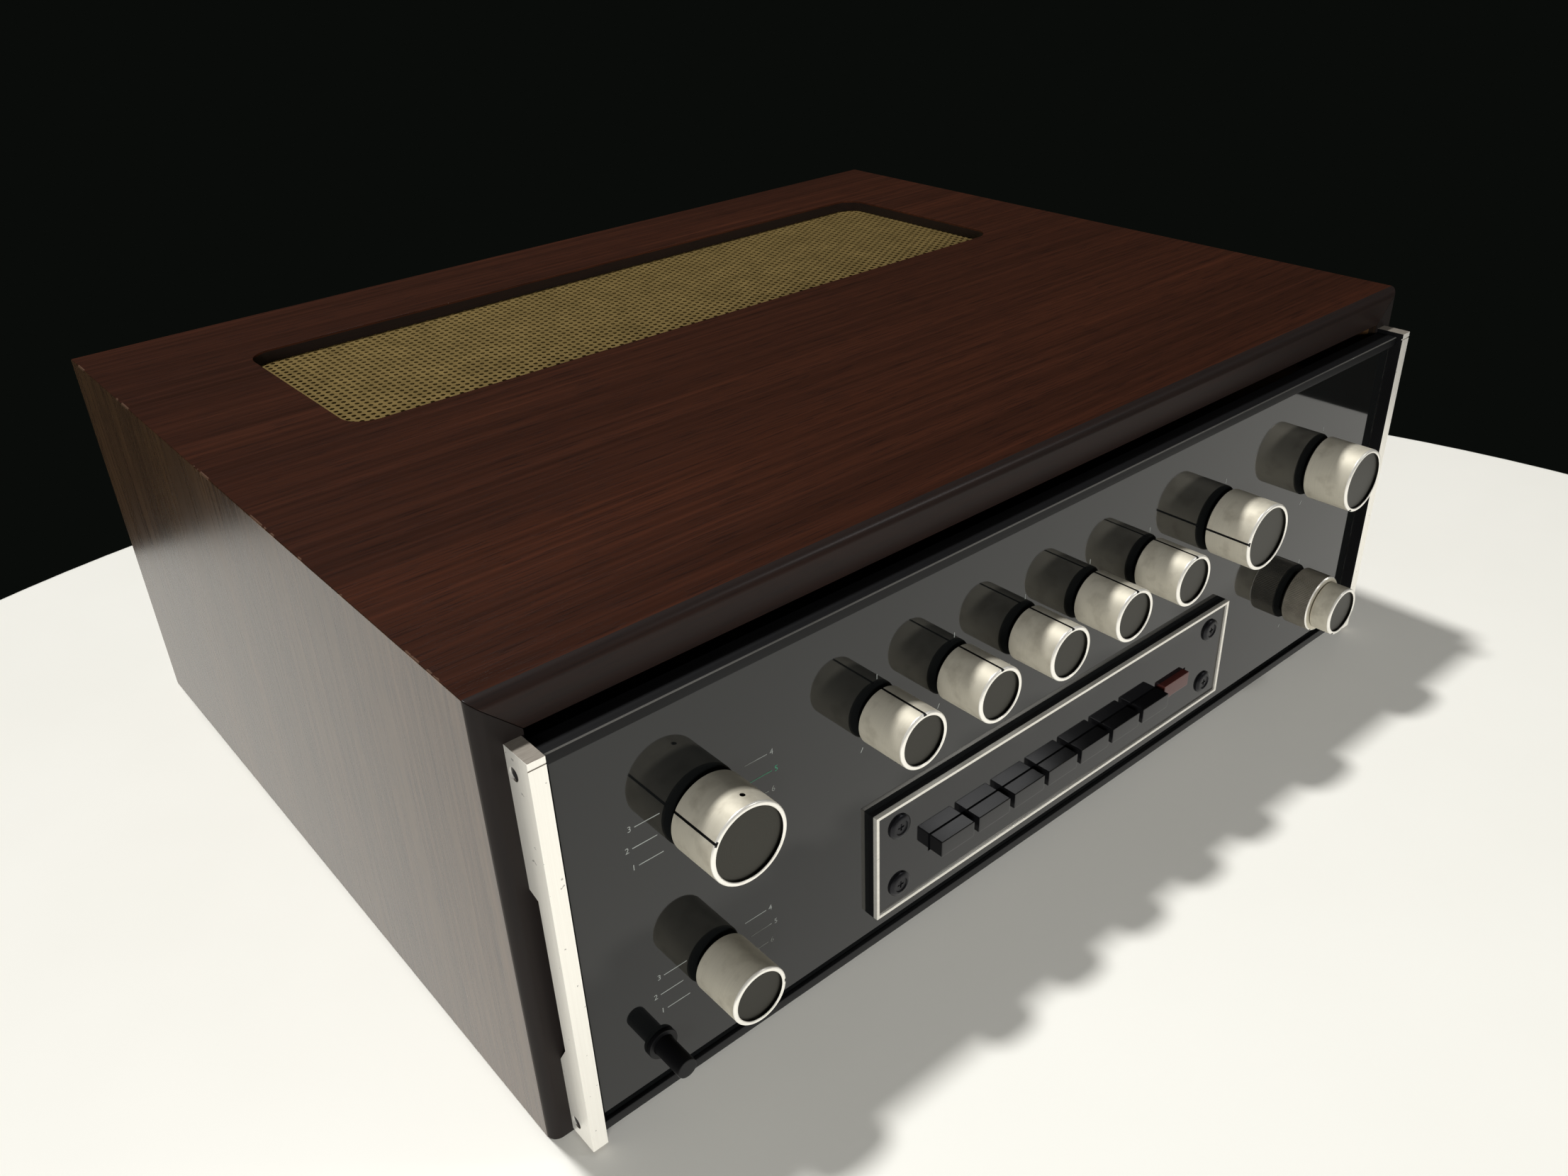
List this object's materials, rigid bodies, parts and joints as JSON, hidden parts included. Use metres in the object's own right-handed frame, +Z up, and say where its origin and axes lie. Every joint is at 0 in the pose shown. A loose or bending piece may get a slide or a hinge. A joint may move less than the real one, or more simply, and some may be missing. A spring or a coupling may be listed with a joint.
{
  "type": "preamplifier",
  "caption": "Preamplifier in a wooden cabinet with a sunk vent grille, a black glass front panel, turned metal knobs and a row of push keys; its chassis slides forward.",
  "frame": {"origin": "middle of the cabinet's underside, on the surface that it stands on", "axes": "+X to the right as seen from the front, +Y towards the back, +Z up; the front panel faces -Y"},
  "size_m": [0.42, 0.3498, 0.1535],
  "materials": {
    "walnut": "oiled satin walnut",
    "bottom_board": "raw board",
    "gold_sheet": "pale gold anodised",
    "sheet_steel": "plated sheet",
    "black_glass": "high gloss",
    "black_rail": "satin black",
    "satin_aluminium": "satin",
    "knob_aluminium": "brushed satin",
    "ring_aluminium": "fine knurl",
    "bright_trim": "bright",
    "black_plate": "gloss",
    "black_key": "gloss",
    "red_key": "gloss",
    "black_screw": "black oxide",
    "black_button": "satin black",
    "felt": "felt",
    "shaft_steel": "turned",
    "control_case": "stamped",
    "phenolic": "phenolic sheet",
    "switch_case": "moulded",
    "core_iron": "lacquered laminations",
    "board_green": "solder mask",
    "capacitor_sleeve": "shrink sleeve",
    "nickel": "nickel plate",
    "gland_rubber": "black rubber"
  },
  "bodies": {
    "cabinet": {"cabinet_top": "walnut", "cabinet_left_side": "walnut", "cabinet_right_side": "walnut", "cabinet_bottom": "bottom_board", "vent_grille": "gold_sheet"},
    "chassis": {"chassis_tray": "sheet_steel", "chassis_cover": "sheet_steel", "rear_panel": "sheet_steel", "front_subpanel": "sheet_steel", "glass_panel": "black_glass", "top_rail": "black_rail", "bottom_rail": "black_rail", "left_end_cap": "satin_aluminium", "right_end_cap": "satin_aluminium", "end_cap_screws": "black_screw", "button_plate": "black_plate", "button_plate_trim": "bright_trim", "button_plate_screws": "black_screw", "switch_bank": "switch_case", "potentiometers": "control_case", "rotary_switches": "phenolic", "shaft_washers": "felt", "latch_bushes": "black_button", "power_transformer": "core_iron", "main_circuit_board": "board_green", "filter_capacitors": "capacitor_sleeve", "phono_sockets": "nickel", "cord_gland": "gland_rubber"},
    "input_selector_control": {"input_selector_knob": "knob_aluminium", "input_selector_shaft": "shaft_steel"},
    "mode_selector_control": {"mode_selector_knob": "knob_aluminium", "mode_selector_shaft": "shaft_steel"},
    "tone_1_control": {"tone_knob_1": "knob_aluminium", "tone_shaft_1": "shaft_steel"},
    "tone_2_control": {"tone_knob_2": "knob_aluminium", "tone_shaft_2": "shaft_steel"},
    "tone_3_control": {"tone_knob_3": "knob_aluminium", "tone_shaft_3": "shaft_steel"},
    "tone_4_control": {"tone_knob_4": "knob_aluminium", "tone_shaft_4": "shaft_steel"},
    "tone_5_control": {"tone_knob_5": "knob_aluminium", "tone_shaft_5": "shaft_steel"},
    "loudness_control": {"loudness_knob": "knob_aluminium", "loudness_shaft": "shaft_steel"},
    "volume_control": {"volume_knob": "knob_aluminium", "volume_shaft": "shaft_steel"},
    "dual_ring_control": {"dual_ring_knob": "ring_aluminium", "dual_ring_shaft": "shaft_steel"},
    "dual_front_control": {"dual_front_knob": "knob_aluminium", "dual_front_shaft": "shaft_steel"},
    "key_1": {"push_key_1": "black_key"},
    "key_2": {"push_key_2": "black_key"},
    "key_3": {"push_key_3": "black_key"},
    "key_4": {"push_key_4": "black_key"},
    "key_5": {"push_key_5": "black_key"},
    "key_6": {"push_key_6": "black_key"},
    "key_7": {"push_key_7": "black_key"},
    "power": {"power_key": "red_key"},
    "left_latch": {"left_latch_button": "black_button"},
    "right_latch": {"right_latch_button": "black_button"}
  },
  "joints": [
    {"name": "chassis_slide", "type": "slide", "parent": "cabinet", "child": "chassis", "axis": [0, -1, 0], "range_m": [0, 0.15]},
    {"name": "input_selector_turn", "type": "hinge", "parent": "chassis", "child": "input_selector_control", "pos_m": [-0.1525, -0.1673, 0.0951], "axis": [0, 1, 0], "range_deg": [-30, 150]},
    {"name": "mode_selector_turn", "type": "hinge", "parent": "chassis", "child": "mode_selector_control", "pos_m": [-0.1525, -0.1673, 0.0389], "axis": [0, 1, 0], "range_deg": [-180, 0]},
    {"name": "tone_1_turn", "type": "hinge", "parent": "chassis", "child": "tone_1_control", "pos_m": [-0.088, -0.1673, 0.0951], "axis": [0, 1, 0], "range_deg": [-150, 150]},
    {"name": "tone_2_turn", "type": "hinge", "parent": "chassis", "child": "tone_2_control", "pos_m": [-0.0552, -0.1673, 0.0951], "axis": [0, 1, 0], "range_deg": [-150, 150]},
    {"name": "tone_3_turn", "type": "hinge", "parent": "chassis", "child": "tone_3_control", "pos_m": [-0.0224, -0.1673, 0.0951], "axis": [0, 1, 0], "range_deg": [-150, 150]},
    {"name": "tone_4_turn", "type": "hinge", "parent": "chassis", "child": "tone_4_control", "pos_m": [0.0104, -0.1673, 0.0951], "axis": [0, 1, 0], "range_deg": [-150, 150]},
    {"name": "tone_5_turn", "type": "hinge", "parent": "chassis", "child": "tone_5_control", "pos_m": [0.0432, -0.1673, 0.0951], "axis": [0, 1, 0], "range_deg": [-150, 150]},
    {"name": "loudness_turn", "type": "hinge", "parent": "chassis", "child": "loudness_control", "pos_m": [0.0884, -0.1673, 0.0951], "axis": [0, 1, 0], "range_deg": [-67, 233]},
    {"name": "volume_turn", "type": "hinge", "parent": "chassis", "child": "volume_control", "pos_m": [0.1545, -0.1673, 0.0951], "axis": [0, 1, 0], "range_deg": [0, 300]},
    {"name": "dual_ring_turn", "type": "hinge", "parent": "chassis", "child": "dual_ring_control", "pos_m": [0.1545, -0.1673, 0.0365], "axis": [0, 1, 0], "range_deg": [0, 300]},
    {"name": "dual_front_turn", "type": "hinge", "parent": "chassis", "child": "dual_front_control", "pos_m": [0.1545, -0.1673, 0.0365], "axis": [0, 1, 0], "range_deg": [0, 300]},
    {"name": "key_1_press", "type": "slide", "parent": "chassis", "child": "key_1", "axis": [0, 1, 0], "range_m": [0, 0.004], "stiffness_N_per_m": 250},
    {"name": "key_2_press", "type": "slide", "parent": "chassis", "child": "key_2", "axis": [0, 1, 0], "range_m": [0, 0.004], "stiffness_N_per_m": 250},
    {"name": "key_3_press", "type": "slide", "parent": "chassis", "child": "key_3", "axis": [0, 1, 0], "range_m": [0, 0.004], "stiffness_N_per_m": 250},
    {"name": "key_4_press", "type": "slide", "parent": "chassis", "child": "key_4", "axis": [0, 1, 0], "range_m": [0, 0.004], "stiffness_N_per_m": 250},
    {"name": "key_5_press", "type": "slide", "parent": "chassis", "child": "key_5", "axis": [0, 1, 0], "range_m": [0, 0.004], "stiffness_N_per_m": 250},
    {"name": "key_6_press", "type": "slide", "parent": "chassis", "child": "key_6", "axis": [0, 1, 0], "range_m": [0, 0.004], "stiffness_N_per_m": 250},
    {"name": "key_7_press", "type": "slide", "parent": "chassis", "child": "key_7", "axis": [0, 1, 0], "range_m": [0, 0.004], "stiffness_N_per_m": 250},
    {"name": "power_press", "type": "slide", "parent": "chassis", "child": "power", "axis": [0, 1, 0], "range_m": [-0.0034, 0.0006]},
    {"name": "left_latch_press", "type": "slide", "parent": "chassis", "child": "left_latch", "axis": [0, 1, 0], "range_m": [0, 0.005], "stiffness_N_per_m": 400},
    {"name": "right_latch_press", "type": "slide", "parent": "chassis", "child": "right_latch", "axis": [0, 1, 0], "range_m": [0, 0.005], "stiffness_N_per_m": 400}
  ]
}
